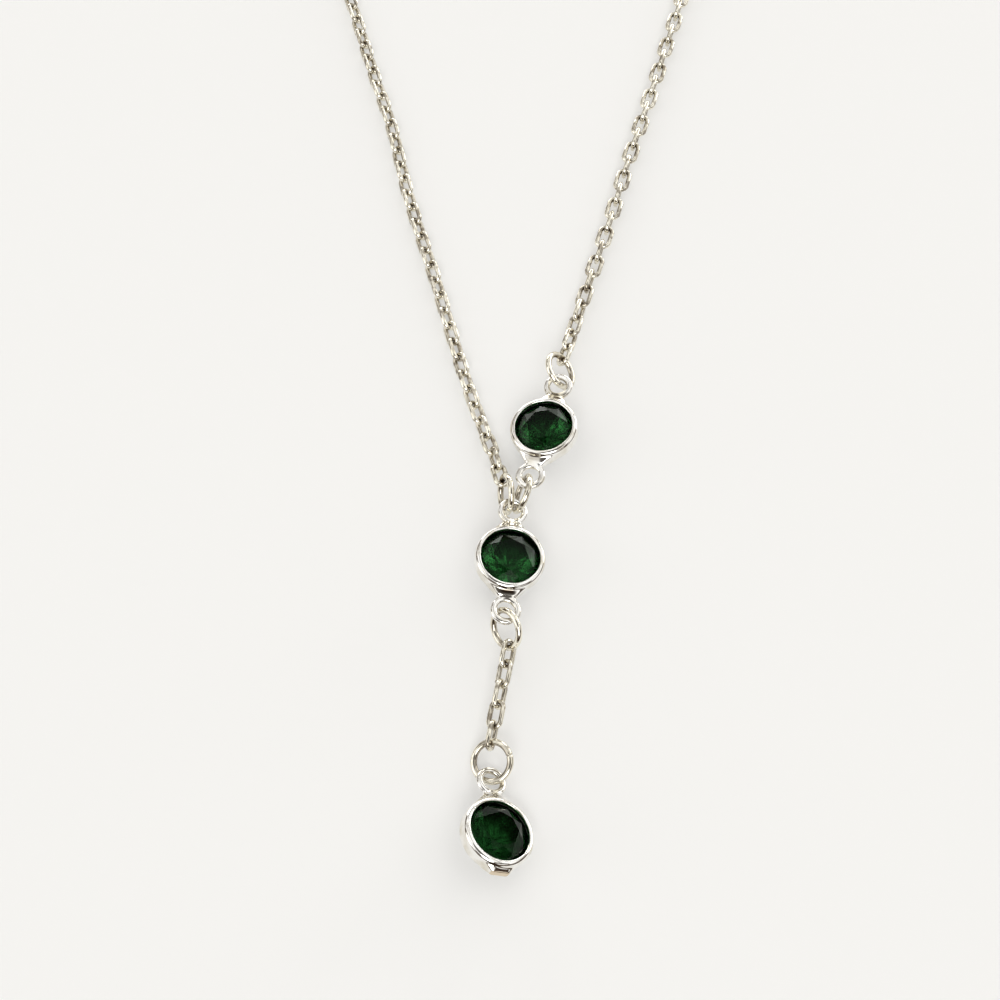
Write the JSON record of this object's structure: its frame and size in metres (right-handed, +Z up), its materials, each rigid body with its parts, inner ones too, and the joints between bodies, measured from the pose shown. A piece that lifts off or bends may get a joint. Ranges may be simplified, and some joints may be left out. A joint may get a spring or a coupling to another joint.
{
  "type": "y necklace",
  "caption": "Y necklace lying flat: a closed fine cable chain with round green cut stones in plain silver settings, joined by jump rings, with a short drop chain.",
  "frame": {"origin": "on the surface the necklace lies on, under the centre of its outline in plan", "axes": "+Z up from the surface; +Y from the drop towards the clasp; +X to the wearer's left"},
  "size_m": [0.0787, 0.2107, 0.0046],
  "materials": {
    "chain_metal": "bright silver plating on small wires",
    "setting_metal": "bright silver plating, smooth and rounded",
    "stone": "polished deep green cut glass with a backed underside"
  },
  "bodies": {
    "root": {"setting_upper": "setting_metal", "setting_middle": "setting_metal", "setting_lower": "setting_metal", "stone_upper": "stone", "stone_middle": "stone", "stone_lower": "stone", "ring_left": "chain_metal", "ring_right": "chain_metal", "ring_upper_top": "chain_metal", "ring_middle_bottom": "chain_metal", "ring_lower": "chain_metal", "chain_left": "chain_metal", "chain_right": "chain_metal", "clasp": "chain_metal", "clasp_ring": "chain_metal", "end_ring": "chain_metal", "drop_link_1": "chain_metal", "drop_link_2": "chain_metal", "drop_link_3": "chain_metal", "drop_link_4": "chain_metal", "drop_link_5": "chain_metal"}
  },
  "joints": []
}
